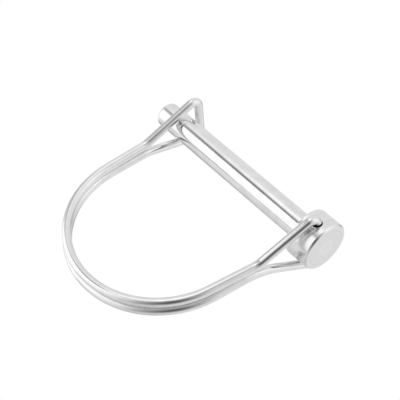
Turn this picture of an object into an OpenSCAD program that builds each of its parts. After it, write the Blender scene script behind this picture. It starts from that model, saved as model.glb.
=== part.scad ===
/* [Pin] */
// Diameter of the shank that goes through the hitch holes
shank_d = 8; // [7:0.1:8.4]
// Length of the shank from the head's shoulder to the tip
shank_length = 63.5; // [60:0.1:90]
// Radius that rounds the tip's edge
tip_round = 1.2; // [0.4:0.1:2.5]
// Diameter of the head
head_d = 15.4; // [12:0.1:15.6]
// Length of the head along the shank's axis
head_length = 8; // [7.6:0.1:8.2]
// Chamfer round the head's front face
head_chamfer = 0.6; // [0.3:0.1:1.2]
// Small chamfer round the head's shoulder
shoulder_chamfer = 0.2; // [0.1:0.05:0.5]

/* [Bail wire] */
// Diameter of the bail's spring wire
wire_d = 2.7; // [2:0.1:2.9]
// Gap between the two strands where they run side by side
strand_gap = 0.7; // [0.5:0.1:1.2]
// Radial clearance of the wire's ends in the head's cross-hole
hole_clearance = 0.05; // [0.02:0.01:0.1]
// Distance from the shoulder back to the cross-hole's axis
hole_back = 4.1; // [3.8:0.1:4.3]
// Distance from the middle of the cross-hole to each wire end
wire_end_z = 1.6; // [0.5:0.1:4]

/* [Legs at the head] */
// Height at which each leg would meet the hole's axis if it weren't bent
knuckle_z = 11; // [10.9:0.05:12]
// Centre-line radius of the bend from the hole into the leg
knuckle_bend = 2; // [1.8:0.1:2.1]
// Distance from the shoulder back to the points where the legs meet their arches
leg_top_back = 0.7; // [0.3:0.1:1.3]
// Height above the shank's axis of the point where the upper leg meets its arch
leg_upper_y = 19; // [18.5:0.1:19.5]
// Height above the shank's axis of the point where the lower leg meets its arch
leg_lower_y = 17.5; // [17.3:0.1:18]
// Centre-line radius of the bend from the upper leg into its arch
leg_upper_bend = 7; // [4:1:14]
// Centre-line radius of the bend from the lower leg into its arch
leg_lower_bend = 24; // [14:1:26]

/* [Arch] */
// Centre-line radius of the upper strand's arch
arch_upper_r = 27.4; // [27.1:0.1:27.7]
// Centre-line radius of the lower strand's arch
arch_lower_r = 27.8; // [27.5:0.1:28.1]
// Distance from the shoulder to the arches' centres
arch_x = 28.9; // [28.6:0.05:29.2]
// Height of the upper arch's centre above the shank's axis
arch_upper_y = 29.1; // [28.8:0.1:29.4]
// Height of the lower arch's centre above the shank's axis
arch_lower_y = 29; // [28.7:0.1:29.3]

/* [Loop over the shank] */
// Distance from the shoulder to the bend where the loop's wires part
loop_top_x = 55.85; // [55.6:0.05:56.1]
// Height of that bend above the shank's axis
loop_top_y = 14; // [13.6:0.1:14.6]
// Centre-line radius of that bend
loop_top_bend = 8; // [5:0.5:12]
// Distance from the shoulder to the loop's far end
loop_far_x = 55.2; // [54.7:0.1:55.7]
// Depth of the loop's far end below the shank's axis
loop_far_y = 6.7; // [6.5:0.05:8]
// Half the spread of the loop at its far end
loop_far_z = 8.4; // [8.3:0.05:9.5]
// Centre-line radius of the two bends at the loop's far end
loop_far_bend = 2.3; // [2:0.05:3]

/* [Flex] */
// Angle up the loop's side of the arch at which the bail's flex is centred
flex_angle = 20; // [5:1:40]

/* [Hidden] */
$fn = 48;
shank_r = shank_d / 2;
head_r = head_d / 2;
wire_r = wire_d / 2;
strand_z = wire_r + strand_gap / 2;
hole_x = -hole_back;
hole_r = wire_r + hole_clearance;
hole_past = 1;
// A bend is a hair thicker than the straights that lap into it.
bend_swell = 0.005;
bend_r = wire_r + bend_swell;
lap = 0.05;
leg_upper = [-leg_top_back, leg_upper_y];
leg_lower = [-leg_top_back, leg_lower_y];
loop_top = [loop_top_x, loop_top_y];
arch_upper = [arch_x, arch_upper_y];
arch_lower = [arch_x, arch_lower_y];
// The wires part on planes through this axis, which is just outside both strands.
flex_clearance = 0.045;
flex_axis = arch_lower + (arch_lower_r + wire_r + flex_clearance) * [cos(flex_angle), sin(flex_angle)];

function unit(v) = v / norm(v);

// Angle at corner b between the runs towards a and towards c.
function corner_angle(a, b, c) = acos(unit(a - b) * unit(c - b));

// Length of each run that a bend of radius r takes up at corner b.
function bend_length(a, b, c, r) = r / tan(corner_angle(a, b, c) / 2);

// Point where the straight run from p touches the arch; side is +1 at the head and -1 at the loop.
function arch_touch(p, centre, r, side) =
    let (away = centre - p)
    let (distance = norm(away))
    let (turn = atan2(away[1], away[0]) + side * asin(r / distance))
    p + sqrt(distance * distance - r * r) * [cos(turn), sin(turn)];

// Angle at which p lies as seen from the arch's centre.
function turn_of(p, centre) = atan2(p[1] - centre[1], p[0] - centre[0]);

function raised(p, z) = [p[0], p[1], z];

// Moves its children so that their Z axis lies along w and their X axis along u.
module placed(origin, u, w) {
    v = cross(w, u);
    multmatrix([
        [u[0], v[0], w[0], origin[0]],
        [u[1], v[1], w[1], origin[1]],
        [u[2], v[2], w[2], origin[2]],
        [0, 0, 0, 1]
    ]) children();
}

// Straight length of wire from a to b.
module wire_straight(a, b) {
    w = unit(b - a);
    side = abs(w[2]) < 0.9 ? [0, 0, 1] : [0, 1, 0];
    placed(a, unit(cross(side, w)), w) cylinder(r = wire_r, h = norm(b - a));
}

// Bend of centre-line radius r at corner b between a and c.
module wire_bend(a, b, c, r) {
    half = corner_angle(a, b, c) / 2;
    towards_a = unit(a - b);
    towards_c = unit(c - b);
    centre = b + unit(towards_a + towards_c) * r / sin(half);
    start = b + towards_a * r / tan(half);
    finish = b + towards_c * r / tan(half);
    u = unit(start - centre);
    w = unit(cross(start - centre, finish - centre));
    placed(centre, u, w)
        rotate_extrude(angle = 180 - 2 * half)
            translate([r, 0])
                circle(r = bend_r);
}

// Wire through the points p, with a bend of radius r[i] at every point but the first and last.
// Each straight laps into the bends at its ends, and the run starts and ends with the laps given.
module wire_run(p, r, start_lap, end_lap) {
    last = len(p) - 1;
    taken = [for (i = [0:last])
        i == 0 ? -start_lap
        : i == last ? -end_lap
        : bend_length(p[i - 1], p[i], p[i + 1], r[i]) - lap];
    for (i = [0:last - 1]) {
        along = unit(p[i + 1] - p[i]);
        wire_straight(p[i] + along * taken[i], p[i + 1] - along * taken[i + 1]);
    }
    for (i = [1:last - 1]) {
        wire_bend(p[i - 1], p[i], p[i + 1], r[i]);
    }
}

// Stretch of an arch at height z, between two angles.
module arch_stretch(centre, r, z, from_turn, to_turn) {
    translate([centre[0], centre[1], z])
        rotate([0, 0, from_turn])
            rotate_extrude(angle = to_turn - from_turn)
                translate([r, 0])
                    circle(r = bend_r);
}

// One strand from its end in the cross-hole up its leg and round the arch; side is +1 above and -1 below.
module strand(side, leg_top, leg_top_bend, centre, r) {
    z = side * strand_z;
    head_touch = arch_touch(leg_top, centre, r, 1);
    wire_run(
        [
            [hole_x, 0, side * wire_end_z],
            [hole_x, 0, side * knuckle_z],
            raised(leg_top, z),
            raised(head_touch, z)
        ],
        [0, knuckle_bend, leg_top_bend, 0],
        0,
        lap
    );
    arch_stretch(centre, r, z, turn_of(flex_axis, centre), (turn_of(head_touch, centre) + 360) % 360);
}

// Half outline of the head, from its front face at 0 to its shoulder.
module head_outline() {
    polygon([
        [0, 0],
        [head_r - head_chamfer, 0],
        [head_r, head_chamfer],
        [head_r, head_length - shoulder_chamfer],
        [head_r - shoulder_chamfer, head_length],
        [0, head_length]
    ]);
}

// Half outline of the shank, with its rounded tip.
module shank_outline() {
    difference() {
        square([shank_r, shank_length]);
        translate([shank_r - tip_round, shank_length - tip_round])
            difference() {
                square(2 * tip_round);
                circle(r = tip_round);
            }
    }
}

module pin() {
    color([0.72, 0.73, 0.75])
        difference() {
            union() {
                translate([-head_length, 0, 0]) rotate([0, 90, 0]) rotate_extrude() head_outline();
                rotate([0, 90, 0]) rotate_extrude() shank_outline();
            }
            translate([hole_x, 0, -head_r - hole_past])
                cylinder(r = hole_r, h = head_d + 2 * hole_past);
        }
}

module wire_upper() {
    color([0.78, 0.79, 0.8]) strand(1, leg_upper, leg_upper_bend, arch_upper, arch_upper_r);
}

module wire_lower() {
    color([0.78, 0.79, 0.8]) strand(-1, leg_lower, leg_lower_bend, arch_lower, arch_lower_r);
}

module wire_loop() {
    upper_touch = arch_touch(loop_top, arch_upper, arch_upper_r, -1);
    lower_touch = arch_touch(loop_top, arch_lower, arch_lower_r, -1);
    color([0.78, 0.79, 0.8]) {
        wire_run(
            [
                raised(upper_touch, strand_z),
                raised(loop_top, strand_z),
                [loop_far_x, -loop_far_y, loop_far_z],
                [loop_far_x, -loop_far_y, -loop_far_z],
                raised(loop_top, -strand_z),
                raised(lower_touch, -strand_z)
            ],
            [0, loop_top_bend, loop_far_bend, loop_far_bend, loop_top_bend, 0],
            lap,
            lap
        );
        arch_stretch(
            arch_upper,
            arch_upper_r,
            strand_z,
            turn_of(upper_touch, arch_upper),
            turn_of(flex_axis, arch_upper)
        );
        arch_stretch(
            arch_lower,
            arch_lower_r,
            -strand_z,
            turn_of(lower_touch, arch_lower),
            turn_of(flex_axis, arch_lower)
        );
    }
}

pin();
wire_upper();
wire_lower();
wire_loop();
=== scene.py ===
import math

import bpy
import numpy as np
from mathutils import Euler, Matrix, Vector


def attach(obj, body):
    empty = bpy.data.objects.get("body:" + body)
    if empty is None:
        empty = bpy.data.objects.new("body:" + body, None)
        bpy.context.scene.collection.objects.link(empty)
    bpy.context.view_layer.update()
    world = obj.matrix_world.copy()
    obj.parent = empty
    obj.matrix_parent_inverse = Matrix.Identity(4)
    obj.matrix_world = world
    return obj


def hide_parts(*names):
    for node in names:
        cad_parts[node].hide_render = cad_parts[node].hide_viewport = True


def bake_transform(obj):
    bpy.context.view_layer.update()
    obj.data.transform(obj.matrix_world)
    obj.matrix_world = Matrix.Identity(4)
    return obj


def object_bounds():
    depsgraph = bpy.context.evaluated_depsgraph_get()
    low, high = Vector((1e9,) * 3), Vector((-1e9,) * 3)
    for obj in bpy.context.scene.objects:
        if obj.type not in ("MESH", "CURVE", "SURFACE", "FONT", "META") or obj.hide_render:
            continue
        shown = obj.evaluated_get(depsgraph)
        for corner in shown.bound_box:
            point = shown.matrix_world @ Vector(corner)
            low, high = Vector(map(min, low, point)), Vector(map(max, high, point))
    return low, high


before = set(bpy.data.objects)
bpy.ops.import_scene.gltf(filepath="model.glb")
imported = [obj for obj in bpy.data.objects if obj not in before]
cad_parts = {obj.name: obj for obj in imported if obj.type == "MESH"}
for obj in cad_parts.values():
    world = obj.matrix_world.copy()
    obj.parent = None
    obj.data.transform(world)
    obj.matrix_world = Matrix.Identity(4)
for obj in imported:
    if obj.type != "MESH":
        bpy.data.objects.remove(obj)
cad_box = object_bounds()

MM = 0.001
TAU = 2 * math.pi

# ---------------------------------------------------------------- sizes, mm, as in the CAD part
SHANK_R, SHANK_L, TIP_R = 4.0, 63.5, 1.2
HEAD_R, HEAD_L, HEAD_CHAMFER, SHOULDER_CHAMFER = 7.7, 8.0, 0.6, 0.2
WIRE_R, STRAND_Z = 1.35, 1.7
HOLE_X, HOLE_R, WIRE_END_Z = -4.1, 1.4, 1.6
KNUCKLE_Z, KNUCKLE_BEND = 11.0, 2.0
LEG = {1: ((-0.7, 19.0), 7.0), -1: ((-0.7, 17.5), 24.0)}
ARCH = {1: ((28.9, 29.1), 27.4), -1: ((28.9, 29.0), 27.8)}
LOOP_TOP, LOOP_TOP_BEND = (55.85, 14.0), 8.0
LOOP_FAR, LOOP_FAR_BEND = (55.2, -6.7, 8.4), 2.3

# ---------------------------------------------------------------- sizes, mm, of the finer shapes
CENTRE_LINE_STEP = 0.5
WIRE_SIDES, BODY_SIDES, DRILL_SIDES = 40, 240, 96
# rounding of the wire's two ends
WIRE_END_ROUND = 0.18
# a bend's tightness is its curvature times this, up to 1, and slighter bends don't count
TIGHT_RADIUS, TIGHT_LEAST = 2.0, 0.3
# it is smoothed over this many points each way, by a bell this wide
SMOOTH_REACH, SMOOTH_WIDTH = 4, 1.8
# widest gap between points round a bend, as a share of its radius, and the fewest points in one
BEND_GAP, BEND_LEAST = 0.09, 8
# how a tight bend flattens the wire towards its inside and swells its sides
BEND_FLATTEN, BEND_SWELL = 0.03, 0.012
# edges of the pin: front face to chamfer, chamfer to side, shoulder, and shank to shoulder
FACE_EDGE, CHAMFER_EDGE, SHOULDER_EDGE, ROOT_EDGE = 0.1, 0.14, 0.12, 0.16
# the front chamfer's depth across the face, as a share of its length along the axis
CHAMFER_SLOPE = 0.65
# segments in each rounded corner; gaps between points on the head, on the shank's side and elsewhere
CORNER_SEGMENTS = 8
HEAD_GAP, SHANK_GAP, OTHER_GAP = 0.35, 2.5, 0.5
# the cross-hole's mouths: how much wider they are, and heights where they narrow to the hole
MOUTH_GAP = 0.22
MOUTH_TOP, MOUTH_FOOT = 6.2, 5.8
# their rounded edge: its radius, how far it's lifted past the head's side, its turn and its segments
MOUTH_EDGE, MOUTH_LIFT, MOUTH_TURN, MOUTH_SEGMENTS = 0.16, 0.02, 1.25, 9
# a ring of points each side of the hole's middle keeps its faces short
HOLE_RING = 2.5
# the drill's flared ends, which stand clear of the head
DRILL_PAST, DRILL_FLARE = 1.5, 1.2

# ---------------------------------------------------------------- looks
# darkest and lightest plating on the wire and on the pin, and the near-black painted shade inside the
# cross-hole
WIRE_TINTS = (0.80, 0.80, 0.805), (0.88, 0.88, 0.885)
PIN_TINTS = (0.81, 0.81, 0.815), (0.92, 0.92, 0.925)
HOLE_SHADE_TINTS = (0.05, 0.05, 0.052), (0.12, 0.12, 0.122)
# least and most roughness, and what is added at bends and on the head
WIRE_ROUGH, PIN_ROUGH, HOLE_ROUGH = (0.03, 0.08), (0.04, 0.1), (0.25, 0.4)
BEND_ROUGH, HEAD_ROUGH = 0.08, 0.15
# how much of the tint is turning rings, on the shank and on the head
SHANK_RINGS, HEAD_RINGS = 0.18, 0.95
# the head's finish fades in over this far behind the shoulder, in mm
HEAD_FROM = 0.4


# ---------------------------------------------------------------- mesh helpers
def new_mesh(name, verts, faces, smooth=True):
    me = bpy.data.meshes.new(name)
    me.from_pydata([tuple(v) for v in verts], [], faces)
    me.update()
    if smooth:
        me.polygons.foreach_set("use_smooth", [True] * len(me.polygons))
    ob = bpy.data.objects.new(name, me)
    bpy.context.scene.collection.objects.link(ob)
    return ob


def unit(v):
    return v / np.linalg.norm(v)


# ---------------------------------------------------------------- the bail's centre line
def touch(p, centre, r, side):
    """Point where the straight run from p touches the arch; side is +1 at the head, -1 at the loop."""
    away = np.array(centre) - np.array(p)
    dist = np.hypot(*away)
    turn = math.atan2(away[1], away[0]) + side * math.asin(r / dist)
    return np.array(p) + math.sqrt(dist**2 - r**2) * np.array([math.cos(turn), math.sin(turn)])


def arc_points(centre, start, finish, gap):
    """Points round centre from start to finish, the short way."""
    a, b = start - centre, finish - centre
    r = np.linalg.norm(a)
    u = a / r
    w = unit(np.cross(a, b))
    v = np.cross(w, u)
    total = math.acos(np.clip(np.dot(a, b) / r**2, -1, 1))
    n = max(BEND_LEAST, int(math.ceil(total * r / gap)))
    turns = [total * i / n for i in range(1, n + 1)]
    return [centre + r * (math.cos(t) * u + math.sin(t) * v) for t in turns]


def centre_line(gap=CENTRE_LINE_STEP):
    """Points along the whole wire, from its upper end in the cross-hole to its lower end."""
    pts = []

    def go(p):
        pts.append(np.array(p, float))

    def line(q):
        p = pts[-1]
        n = max(1, int(np.linalg.norm(q - p) / gap))
        for i in range(1, n + 1):
            go(p + (q - p) * i / n)

    def corner(a, b, c, r):
        u, w = unit(a - b), unit(c - b)
        half = math.acos(np.clip(np.dot(u, w), -1, 1)) / 2
        centre = b + unit(u + w) * r / math.sin(half)
        start, finish = b + u * r / math.tan(half), b + w * r / math.tan(half)
        line(start)
        for q in arc_points(centre, start, finish, min(gap, r * BEND_GAP)):
            go(q)

    def arch(side, backwards):
        (cx, cy), r = ARCH[side]
        head = touch(LEG[side][0], (cx, cy), r, 1)
        loop = touch(LOOP_TOP, (cx, cy), r, -1)
        a0 = math.atan2(head[1] - cy, head[0] - cx) % TAU
        a1 = math.atan2(loop[1] - cy, loop[0] - cx)
        if backwards:
            a0, a1 = a1, a0
        n = int(abs(a1 - a0) * r / gap)
        for i in range(1, n + 1):
            t = a0 + (a1 - a0) * i / n
            go((cx + r * math.cos(t), cy + r * math.sin(t), side * STRAND_Z))

    def flat(p, z):
        return np.array([p[0], p[1], z])

    far = np.array(LOOP_FAR)
    low = far * [1, 1, -1]
    leg = {s: flat(LEG[s][0], s * STRAND_Z) for s in (1, -1)}
    head_touch = {s: flat(touch(LEG[s][0], *ARCH[s], 1), s * STRAND_Z) for s in (1, -1)}
    loop_touch = {s: flat(touch(LOOP_TOP, *ARCH[s], -1), s * STRAND_Z) for s in (1, -1)}
    end = np.array([HOLE_X, 0, WIRE_END_Z])
    knuckle = np.array([HOLE_X, 0, KNUCKLE_Z])
    go(end)
    corner(end, knuckle, leg[1], KNUCKLE_BEND)
    corner(knuckle, leg[1], head_touch[1], LEG[1][1])
    line(head_touch[1])
    arch(1, False)
    corner(loop_touch[1], flat(LOOP_TOP, STRAND_Z), far, LOOP_TOP_BEND)
    corner(flat(LOOP_TOP, STRAND_Z), far, low, LOOP_FAR_BEND)
    corner(far, low, flat(LOOP_TOP, -STRAND_Z), LOOP_FAR_BEND)
    corner(low, flat(LOOP_TOP, -STRAND_Z), loop_touch[-1], LOOP_TOP_BEND)
    line(loop_touch[-1])
    arch(-1, True)
    corner(head_touch[-1], leg[-1], knuckle * [1, 1, -1], LEG[-1][1])
    corner(leg[-1], knuckle * [1, 1, -1], end * [1, 1, -1], KNUCKLE_BEND)
    line(end * [1, 1, -1])
    return np.array(pts)


def make_bail():
    """The whole bail as one swept wire, with its own coordinates for the material."""
    around = WIRE_SIDES
    pts = centre_line()
    tangent = np.gradient(pts, axis=0)
    tangent /= np.linalg.norm(tangent, axis=1)[:, None]
    tangent[0], tangent[-1] = (0, 0, 1), (0, 0, 1)
    gone = np.concatenate([[0], np.cumsum(np.linalg.norm(np.diff(pts, axis=0), axis=1))])
    # frames carried along without twist
    ref = np.zeros_like(pts)
    ref[0] = (1, 0, 0)
    for i in range(1, len(pts)):
        r = ref[i - 1] - tangent[i] * np.dot(ref[i - 1], tangent[i])
        ref[i] = unit(r)
    other = np.cross(tangent, ref)
    # direction to the inside of each bend, and how tight it is, smoothed along the wire
    curve = np.gradient(tangent, axis=0) / np.gradient(gone)[:, None]
    tight = np.clip(np.linalg.norm(curve, axis=1) * TIGHT_RADIUS, 0, 1)
    tight[tight < TIGHT_LEAST] = 0
    bell = np.exp(-0.5 * (np.arange(-SMOOTH_REACH, SMOOTH_REACH + 1) / SMOOTH_WIDTH) ** 2)
    tight = np.convolve(tight, bell / bell.sum(), mode="same")
    inward = np.where(np.linalg.norm(curve, axis=1)[:, None] > 1e-6, curve, ref)
    inward /= np.linalg.norm(inward, axis=1)[:, None]
    verts, co, bend, faces = [], [], [], []
    ang = np.arange(around) * TAU / around

    def ring(i, shift, radius):
        for a in ang:
            d = ref[i] * math.cos(a) + other[i] * math.sin(a)
            inside = np.dot(d, inward[i])
            # a tight bend flattens the wire a little and pushes its sides out
            swell = 1 - BEND_FLATTEN * tight[i] * (inside**2) + BEND_SWELL * tight[i] * (1 - inside**2)
            verts.append((pts[i] + tangent[i] * shift + d * radius * swell) * MM)
            co.append((radius * math.cos(a), radius * math.sin(a), gone[i] + shift))
            bend.append(tight[i])

    # the ends are rounded off over a short length
    cut = WIRE_END_ROUND
    ring(0, 0.0, WIRE_R - cut)
    ring(0, cut * 0.45, WIRE_R - cut * 0.25)
    ring(0, cut, WIRE_R)
    first = 1
    while gone[first] <= cut * 1.2:
        first += 1
    last = len(pts) - 2
    while gone[-1] - gone[last] <= cut * 1.2:
        last -= 1
    for i in range(first, last + 1):
        ring(i, 0.0, WIRE_R)
    ring(len(pts) - 1, -cut, WIRE_R)
    ring(len(pts) - 1, -cut * 0.45, WIRE_R - cut * 0.25)
    ring(len(pts) - 1, 0.0, WIRE_R - cut)
    rings = len(verts) // around
    for i in range(rings - 1):
        for j in range(around):
            k = (j + 1) % around
            faces.append((i * around + j, i * around + k, (i + 1) * around + k, (i + 1) * around + j))
    faces.append(tuple(reversed(range(around))))
    faces.append(tuple((rings - 1) * around + j for j in range(around)))
    ob = new_mesh("bail_wire", verts, faces)
    at = ob.data.attributes.new("wire_co", "FLOAT_VECTOR", "POINT")
    at.data.foreach_set("vector", np.array(co, np.float32).ravel())
    at = ob.data.attributes.new("wire_bend", "FLOAT", "POINT")
    at.data.foreach_set("value", np.array(bend, np.float32))
    return ob


# ---------------------------------------------------------------- the pin
def rounded(points, radii, seg):
    """An open outline with its corners rounded: points and outward normals (x, r)."""
    out, nor = [], []

    def left(d):
        return np.array([-d[1], d[0]])

    pts = [np.array(p, float) for p in points]
    for i, p in enumerate(pts):
        r = radii[i]
        if r == 0 or i in (0, len(pts) - 1):
            d = unit(pts[min(i + 1, len(pts) - 1)] - pts[max(i - 1, 0)])
            out.append(p)
            nor.append(left(d))
            continue
        u, w = unit(pts[i - 1] - p), unit(pts[i + 1] - p)
        half = math.acos(np.clip(np.dot(u, w), -1, 1)) / 2
        turn = (math.pi / 2 - half) * 2
        centre = p + unit(u + w) * r / math.sin(half)
        start = p + u * r / math.tan(half)
        n0, n1 = left(-u), left(w)
        sign = 1 if np.dot(start - centre, n0) > 0 else -1
        for k in range(seg + 1):
            t = k / seg
            n = unit(n0 * math.sin((1 - t) * turn) + n1 * math.sin(t * turn))
            out.append(centre + n * r * sign)
            nor.append(n)
    return out, nor


def densify(out, nor, gap):
    """More points along the outline's long straights, so no face is a long sliver."""
    o2, n2 = [out[0]], [nor[0]]
    for i in range(1, len(out)):
        d = np.linalg.norm(out[i] - out[i - 1])
        n = max(1, int(math.ceil(d / gap(0.5 * (out[i] + out[i - 1])))))
        for k in range(1, n + 1):
            t = k / n
            o2.append(out[i - 1] + (out[i] - out[i - 1]) * t)
            n2.append(unit(nor[i - 1] + (nor[i] - nor[i - 1]) * t))
    return o2, n2


def pin_outline():
    c, s = HEAD_CHAMFER, SHOULDER_CHAMFER
    corners = [
        (-HEAD_L, 0.0),
        (-HEAD_L, HEAD_R - CHAMFER_SLOPE * c),
        (-HEAD_L + c, HEAD_R),
        (-s, HEAD_R),
        (0.0, HEAD_R - s),
        (0.0, SHANK_R),
        (SHANK_L, SHANK_R),
        (SHANK_L, 0.0),
    ]
    radii = [0, FACE_EDGE, CHAMFER_EDGE, SHOULDER_EDGE, SHOULDER_EDGE, ROOT_EDGE, TIP_R, 0]
    out, nor = rounded(corners, radii, CORNER_SEGMENTS)

    def gap(p):
        """Closest on the head, widest along the shank's side."""
        if p[0] < 0:
            return HEAD_GAP
        return SHANK_GAP if p[1] > SHANK_R - 0.1 and p[0] > 0.4 else OTHER_GAP

    return densify(out, nor, gap)


def lathe(name, out, around, place):
    """A closed surface of revolution: place(outline point, angle) gives a point."""
    verts, faces = [place(out[0], 0.0)], []
    for p in out[1:-1]:
        for j in range(around):
            verts.append(place(p, TAU * j / around))
    verts.append(place(out[-1], 0.0))
    n = len(out) - 2
    for j in range(around):
        k = (j + 1) % around
        faces.append((0, 1 + k, 1 + j))
        for i in range(n - 1):
            a, b = 1 + i * around, 1 + (i + 1) * around
            faces.append((a + j, a + k, b + k, b + j))
        a = 1 + (n - 1) * around
        faces.append((a + j, a + k, len(verts) - 1))
    return new_mesh(name, verts, faces)


def make_pin():
    """Built in millimetres for the boolean, then scaled to metres."""
    out, nor = pin_outline()

    def about_x(p, a):
        return p[0], p[1] * math.cos(a), p[1] * math.sin(a)

    def about_hole(p, a):
        return HOLE_X + p[1] * math.cos(a), p[1] * math.sin(a), p[0]

    body = lathe("pin_body", out, BODY_SIDES, about_x)
    # the drill's shape, from its middle up: the cross-hole, then its wider mouth with a rounded edge
    mouth = HEAD_R - MOUTH_EDGE + MOUTH_LIFT
    wide = HOLE_R + MOUTH_GAP
    upper = [(HOLE_RING, HOLE_R), (MOUTH_FOOT, HOLE_R), (MOUTH_TOP, wide)]
    for k in range(MOUTH_SEGMENTS + 1):
        t = k / MOUTH_SEGMENTS * MOUTH_TURN
        upper.append((mouth + MOUTH_EDGE * math.sin(t), wide + MOUTH_EDGE * (1 - math.cos(t))))
    upper += [(HEAD_R + DRILL_PAST, HOLE_R + DRILL_FLARE), (HEAD_R + DRILL_PAST, 0.0)]
    drill = [(-z, r) for z, r in reversed(upper)] + upper
    tool = lathe("drill", drill, DRILL_SIDES, about_hole)
    mats = [bpy.data.materials.new("pin_plating"), bpy.data.materials.new("pin_hole_painted_shade")]
    for m in mats:
        body.data.materials.append(m)
        tool.data.materials.append(m)
    # the drill's faces line the cross-hole and take the second material, whose near-black colour is
    # painted shade
    tool.data.polygons.foreach_set("material_index", [1] * len(tool.data.polygons))
    mod = body.modifiers.new("cut", "BOOLEAN")
    mod.operation = "DIFFERENCE"
    mod.solver = "EXACT"
    mod.object = tool
    dg = bpy.context.evaluated_depsgraph_get()
    me = bpy.data.meshes.new_from_object(body.evaluated_get(dg))
    body.modifiers.clear()
    old = body.data
    body.data = me
    bpy.data.meshes.remove(old)
    bpy.data.objects.remove(tool)
    # normals from the true surfaces
    line = np.array(out)
    lnor = np.array(nor)
    co = np.array([v.co for v in me.vertices])
    px, pr = co[:, 0], np.hypot(co[:, 1], co[:, 2])
    best = np.full(len(co), 1e9)
    vn = np.zeros((len(co), 3))
    for i in range(len(line) - 1):
        a, b = line[i], line[i + 1]
        d = b - a
        t = np.clip(((px - a[0]) * d[0] + (pr - a[1]) * d[1]) / (d @ d), 0, 1)
        dist = np.hypot(px - a[0] - t * d[0], pr - a[1] - t * d[1])
        near = dist < best - 1e-9
        n = lnor[i][None] + (lnor[i + 1] - lnor[i])[None] * t[:, None]
        n /= np.linalg.norm(n, axis=1)[:, None]
        safe = np.maximum(pr, 1e-9)
        full = np.stack([n[:, 0], n[:, 1] * co[:, 1] / safe, n[:, 1] * co[:, 2] / safe], 1)
        vn[near] = full[near]
        best = np.minimum(best, dist)
    loops = np.zeros((len(me.loops), 3))
    for p in me.polygons:
        for li in p.loop_indices:
            v = me.loops[li].vertex_index
            if p.material_index == 0:
                loops[li] = vn[v]
            else:
                x, y, z = co[v]
                d = np.array([HOLE_X - x, -y, 0.0])
                h = max(np.linalg.norm(d), 1e-9)
                over = max(0.0, min(1.0, (abs(z) - mouth) / MOUTH_EDGE))
                t = math.asin(over)
                loops[li] = d / h * math.cos(t) + np.array([0, 0, math.copysign(math.sin(t), z)])
    for v in me.vertices:
        v.co = v.co * MM
    me.polygons.foreach_set("use_smooth", [True] * len(me.polygons))
    me.normals_split_custom_set([tuple(n) for n in loops])
    me.update()
    return body


# ---------------------------------------------------------------- materials
def tree_of(mat):
    mat.use_nodes = True
    nt = mat.node_tree
    nt.nodes.clear()
    out = nt.nodes.new("ShaderNodeOutputMaterial")
    bsdf = nt.nodes.new("ShaderNodeBsdfPrincipled")
    nt.links.new(bsdf.outputs[0], out.inputs[0])
    return nt, bsdf


def node(nt, kind, **values):
    n = nt.nodes.new(kind)
    for k, v in values.items():
        if k in n.inputs:
            n.inputs[k].default_value = v
        else:
            setattr(n, k, v)
    return n


def ramp(nt, src, stops):
    n = nt.nodes.new("ShaderNodeValToRGB")
    nt.links.new(src, n.inputs[0])
    e = n.color_ramp.elements
    while len(e) < len(stops):
        e.new(0.5)
    for el, (pos, v) in zip(e, stops):
        el.position = pos
        el.color = (v[0], v[1], v[2], 1) if isinstance(v, tuple) else (v, v, v, 1)
    return n.outputs[0]


def steel_wire(mat):
    nt, bsdf = tree_of(mat)
    L = nt.links.new
    bsdf.inputs["Metallic"].default_value = 1.0
    co = node(nt, "ShaderNodeAttribute", attribute_name="wire_co")
    bend = node(nt, "ShaderNodeAttribute", attribute_name="wire_bend")
    # fine lines drawn along the wire by the die
    m1 = node(nt, "ShaderNodeMapping", Scale=(9.0, 9.0, 0.09))
    L(co.outputs["Vector"], m1.inputs[0])
    lines = node(nt, "ShaderNodeTexNoise", Scale=1.0, Detail=4.0, Roughness=0.6)
    L(m1.outputs[0], lines.inputs["Vector"])
    # the plating's soft cloudiness
    cloud = node(nt, "ShaderNodeTexNoise", Scale=0.55, Detail=5.0, Roughness=0.55)
    L(co.outputs["Vector"], cloud.inputs["Vector"])
    peel = node(nt, "ShaderNodeTexNoise", Scale=3.2, Detail=3.0, Roughness=0.5)
    L(co.outputs["Vector"], peel.inputs["Vector"])
    colour = ramp(nt, cloud.outputs[0], [(0.3, WIRE_TINTS[0]), (0.7, WIRE_TINTS[1])])
    L(colour, bsdf.inputs["Base Color"])
    rough = ramp(nt, cloud.outputs[0], [(0.25, WIRE_ROUGH[0]), (0.75, WIRE_ROUGH[1])])
    # bends are a little duller
    more = node(nt, "ShaderNodeMath", operation="MULTIPLY_ADD")
    L(bend.outputs["Fac"], more.inputs[0])
    more.inputs[1].default_value = BEND_ROUGH
    L(rough, more.inputs[2])
    L(more.outputs[0], bsdf.inputs["Roughness"])
    b1 = node(nt, "ShaderNodeBump", Strength=0.06, Distance=0.00005)
    L(lines.outputs[0], b1.inputs["Height"])
    b2 = node(nt, "ShaderNodeBump", Strength=0.05, Distance=0.0002)
    L(peel.outputs[0], b2.inputs["Height"])
    L(b1.outputs[0], b2.inputs["Normal"])
    L(b2.outputs[0], bsdf.inputs["Normal"])


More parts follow.
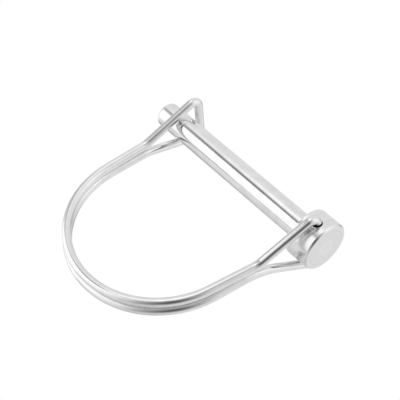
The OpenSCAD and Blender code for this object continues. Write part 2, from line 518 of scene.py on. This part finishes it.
def steel_pin(mat, hole=False):
    nt, bsdf = tree_of(mat)
    L = nt.links.new
    bsdf.inputs["Metallic"].default_value = 1.0
    co = node(nt, "ShaderNodeTexCoord")
    mm = node(nt, "ShaderNodeVectorMath", operation="SCALE", Scale=1000.0)
    L(co.outputs["Object"], mm.inputs[0])
    cloud = node(nt, "ShaderNodeTexNoise", Scale=0.35, Detail=5.0, Roughness=0.55)
    L(mm.outputs[0], cloud.inputs["Vector"])
    peel = node(nt, "ShaderNodeTexNoise", Scale=2.2, Detail=3.0, Roughness=0.5)
    L(mm.outputs[0], peel.inputs["Vector"])
    # turning lines: rings about the pin's axis, by distance along it and out from it
    sep = node(nt, "ShaderNodeSeparateXYZ")
    L(mm.outputs[0], sep.inputs[0])
    yz = node(nt, "ShaderNodeCombineXYZ")
    L(sep.outputs[1], yz.inputs[1])
    L(sep.outputs[2], yz.inputs[2])
    rad = node(nt, "ShaderNodeVectorMath", operation="LENGTH")
    L(yz.outputs[0], rad.inputs[0])
    rings = node(nt, "ShaderNodeCombineXYZ")
    L(sep.outputs[0], rings.inputs[0])
    L(rad.outputs["Value"], rings.inputs[1])
    turn = node(nt, "ShaderNodeTexNoise", Scale=7.0, Detail=4.0, Roughness=0.65)
    L(rings.outputs[0], turn.inputs["Vector"])
    if hole:
        # inside the cross-hole the colour is near black: painted shade standing in for the shadow in
        # the recess
        colour = ramp(nt, cloud.outputs[0], [(0.3, HOLE_SHADE_TINTS[0]), (0.7, HOLE_SHADE_TINTS[1])])
        L(colour, bsdf.inputs["Base Color"])
        rough = ramp(nt, cloud.outputs[0], [(0.25, HOLE_ROUGH[0]), (0.75, HOLE_ROUGH[1])])
        L(rough, bsdf.inputs["Roughness"])
    else:
        # broader turning rings tint the plating
        bands = node(nt, "ShaderNodeTexNoise", Scale=1.6, Detail=5.0, Roughness=0.75)
        L(rings.outputs[0], bands.inputs["Vector"])
        tint = node(nt, "ShaderNodeMix")
        L(cloud.outputs[0], tint.inputs[2])
        L(bands.outputs[0], tint.inputs[3])
        colour = ramp(nt, tint.outputs[0], [(0.36, PIN_TINTS[0]), (0.64, PIN_TINTS[1])])
        L(colour, bsdf.inputs["Base Color"])
        # the head is turned more coarsely than the drawn shank, so its shine is softer
        head = node(nt, "ShaderNodeMapRange")
        L(sep.outputs[0], head.inputs["Value"])
        head.inputs["From Min"].default_value = 0.0
        head.inputs["From Max"].default_value = -HEAD_FROM
        head.inputs["To Max"].default_value = HEAD_ROUGH
        # and its rings show more than its cloudiness
        share = node(nt, "ShaderNodeMapRange")
        L(head.outputs[0], share.inputs["Value"])
        share.inputs["From Max"].default_value = HEAD_ROUGH
        share.inputs["To Min"].default_value = SHANK_RINGS
        share.inputs["To Max"].default_value = HEAD_RINGS
        L(share.outputs[0], tint.inputs[0])
        rough = node(nt, "ShaderNodeMath", operation="ADD")
        base = ramp(nt, cloud.outputs[0], [(0.25, PIN_ROUGH[0]), (0.75, PIN_ROUGH[1])])
        L(base, rough.inputs[0])
        L(head.outputs[0], rough.inputs[1])
        L(rough.outputs[0], bsdf.inputs["Roughness"])
    b1 = node(nt, "ShaderNodeBump", Strength=0.08, Distance=0.00004)
    L(turn.outputs[0], b1.inputs["Height"])
    b2 = node(nt, "ShaderNodeBump", Strength=0.025, Distance=0.0002)
    L(peel.outputs[0], b2.inputs["Height"])
    L(b1.outputs[0], b2.inputs["Normal"])
    L(b2.outputs[0], bsdf.inputs["Normal"])


# ---------------------------------------------------------------- studio
def emitter(name):
    """A material that only sends light, white unless its colour is linked, and its shader node."""
    m = bpy.data.materials.new(name)
    m.use_nodes = True
    nt = m.node_tree
    nt.nodes.clear()
    out = nt.nodes.new("ShaderNodeOutputMaterial")
    e = nt.nodes.new("ShaderNodeEmission")
    e.inputs[0].default_value = (1, 1, 1, 1)
    e.inputs[1].default_value = 1.0
    nt.links.new(e.outputs[0], out.inputs[0])
    return m, e


def step(x, a, b):
    """0 at a, 1 at b, smooth between."""
    t = np.clip((x - a) / (b - a), 0, 1)
    return t * t * (3 - 2 * t)


def patch(az, el, at, size):
    """A soft patch, 1 at its centre."""
    da = (az - at[0] + 180) % 360 - 180
    return np.exp(-((da / size[0]) ** 2) - ((el - at[1]) / size[1]) ** 2)


# The tent's plain wall, and the least and most that any part of it shows, where 255 is screen white
TENT_WALL, TENT_LEAST, TENT_MOST = 219.0, 5, 264
# The share of its light that the plating sends back
PLATING_SHINE = 0.87
# The softbox in it, and the softbox's dark edge: how much lighter and darker than the wall
SOFTBOX_LIGHT, SOFTBOX_EDGE_DARK = 37, 78
# The tent's columns and rows, and its radius in metres
TENT_COLUMNS, TENT_ROWS, TENT_RADIUS = 360, 180, 2.0
# Half the floor's width, in metres
FLOOR_HALF = 3.0
# The camera: its place in metres, its turn in degrees, its lens and sensor in mm. The place and turn
# come from a least-squares fit to the photo's outlines.
CAMERA_AT = (-0.1214194, 0.1242951, 0.2263227)
CAMERA_TURN = (39.3139535, 3.1400537, -129.8458213)
CAMERA_LENS, CAMERA_SENSOR = 90.0, 36.0
# Nearest and farthest that it sees, in metres
CAMERA_NEAR, CAMERA_FAR = 0.01, 20.0
# What the tent shows besides its plain wall: strength, (azimuth, elevation), (half width, half height).
# A least-squares program fitted most of these numbers, the wall's and the softbox's to the brightness
# of the photo's reflections. They were then rounded, and some were changed or added. The photo
# doesn't show the tent itself, so each comment names what its patch could stand for.
TENT_PATCHES = [
    (29, (-137, 18), (27, 43)),  # wall behind the head
    (12, (-121, 44), (24, 6)),  # bright fold high on that wall
    (37, (-52, 86), (73, 15)),  # roof
    (45, (-27, 68), (34, 14)),  # lamp behind the roof cloth
    (15, (-18, -32), (14, 10)),  # light thrown back by the table
    (17, (80, 58), (19, 4)),  # bright lip over the softbox
    (34, (33, 71), (20, 5)),  # light spilling over the softbox's top corner
    (-52, (-145, 69), (30, 8)),  # seam of the roof over the head
    (-36, (111, 69), (60, 11)),  # seam of the roof over the camera
    (-24, (19, 52), (9, 11)),  # dark corner by the softbox
    (-42, (-4, 17), (10, 48)),  # gap between the softbox and the left wall
    (-24, (113, 24), (16, 51)),  # gap to the right of the softbox
    (-122, (147, 43), (27, 29)),  # camera in its opening
    (-47, (148, 13), (33, 27)),  # opening below the camera
    (-46, (-171, 58), (17, 9)),  # opening's upper corner
    (-29, (103, -50), (50, 18)),  # table in shade
    (-29, (-64, -59), (19, 11)),  # far foot of the tent
    (-61, (18, -48), (16, 12)),  # foot below the softbox
    (-24, (37, -73), (81, 15)),  # under the table
    (-60, (-92, -32), (13, 18)),  # slit between the two far walls
    (-80, (-27, -42), (19, 17)),  # dark corner where the table ends
]


def tent_light(az, el):
    """What the light tent sends from each direction, as a screen value from 0 to 255."""
    v = np.full_like(az, TENT_WALL)
    for strength, at, size in TENT_PATCHES:
        v += strength * patch(az, el, at, size)
    # the softbox: its left edge leans over at the top, and its right side fades out
    left = 10.0 + 36.6 * step(el, 38, 64)
    near = step(az, 58, 36)
    foot = step(el, -8 - 36 * near, -1 - 36 * near)
    sides = step(az, left - 1.5, left + 2.5) * step(az, 112, 53)
    v += SOFTBOX_LIGHT * sides * step(el, 65, 61) * foot
    # its dark edge, along the upper left
    gap = left - az
    v -= SOFTBOX_EDGE_DARK * step(el, 49, 57) * step(el, 67, 61) * step(gap, 44, 33) * step(gap, -3, 1)
    return np.clip(v, TENT_LEAST, TENT_MOST)


def make_tent():
    """A light tent seen only in reflections."""
    na, ne = TENT_COLUMNS, TENT_ROWS
    az = (np.arange(na) + 0.5) * 360 / na - 180
    el = np.linspace(-90, 90, ne + 1)
    A, E = np.meshgrid(az, el)
    ca, ce = np.radians(A), np.radians(E)
    pos = np.stack([np.cos(ce) * np.cos(ca), np.cos(ce) * np.sin(ca), np.sin(ce)], -1)
    pos = pos.reshape(-1, 3) * TENT_RADIUS
    faces = []
    for i in range(ne):
        for j in range(na):
            k = (j + 1) % na
            faces.append((i * na + j, i * na + k, (i + 1) * na + k, (i + 1) * na + j))
    centre = np.mean(np.array(cad_box), axis=0)
    tent = new_mesh("tent", pos + centre, faces, False)
    v = tent_light(A, E).ravel() / 255
    # from screen value to light, by the sRGB curve
    lin = np.where(v <= 0.04045, v / 12.92, ((v + 0.055) / 1.055) ** 2.4) / PLATING_SHINE
    col = tent.data.attributes.new("light", "FLOAT_COLOR", "POINT")
    rgba = np.stack([lin, lin, lin, np.ones_like(lin)], 1)
    col.data.foreach_set("color", rgba.astype(np.float32).ravel())
    m, e = emitter("tent_light")
    at = node(m.node_tree, "ShaderNodeAttribute", attribute_name="light")
    m.node_tree.links.new(at.outputs["Color"], e.inputs[0])
    tent.data.materials.append(m)
    tent.visible_camera = False
    tent.visible_shadow = False
    tent.visible_diffuse = False


def make_studio():
    """A white floor that reflections don't show, a white world and the tent."""
    low, half = cad_box[0][2], FLOOR_HALF
    corners = [(-half, -half, low), (half, -half, low), (half, half, low), (-half, half, low)]
    floor = new_mesh("floor", corners, [(0, 1, 2, 3)], False)
    floor.data.materials.append(emitter("floor_white")[0])
    floor.visible_glossy = False
    world = bpy.data.worlds.new("studio")
    bpy.context.scene.world = world
    world.use_nodes = True
    bg = world.node_tree.nodes["Background"]
    bg.inputs[0].default_value = (1, 1, 1, 1)
    bg.inputs[1].default_value = 1.0
    make_tent()


def make_camera():
    """The photo's own viewpoint, as fitted to its outlines."""
    cam = bpy.data.objects.new("camera", bpy.data.cameras.new("camera"))
    cam.data.lens = CAMERA_LENS
    cam.data.sensor_width = CAMERA_SENSOR
    cam.data.clip_start = CAMERA_NEAR
    cam.data.clip_end = CAMERA_FAR
    cam.location = CAMERA_AT
    cam.rotation_euler = Euler([math.radians(a) for a in CAMERA_TURN], "XYZ")
    bpy.context.scene.collection.objects.link(cam)
    bpy.context.scene.camera = cam


make_studio()
make_camera()
bpy.context.scene.view_settings.view_transform = "Standard"

bail = make_bail()
wire_mat = bpy.data.materials.new("spring_wire")
steel_wire(wire_mat)
bail.data.materials.append(wire_mat)
pin = make_pin()
steel_pin(pin.data.materials[0])
# the cross-hole's lining gets the near-black painted shade
steel_pin(pin.data.materials[1], hole=True)

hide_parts("pin")
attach(pin, "pin")
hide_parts("wire_upper", "wire_lower", "wire_loop")
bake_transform(bail)
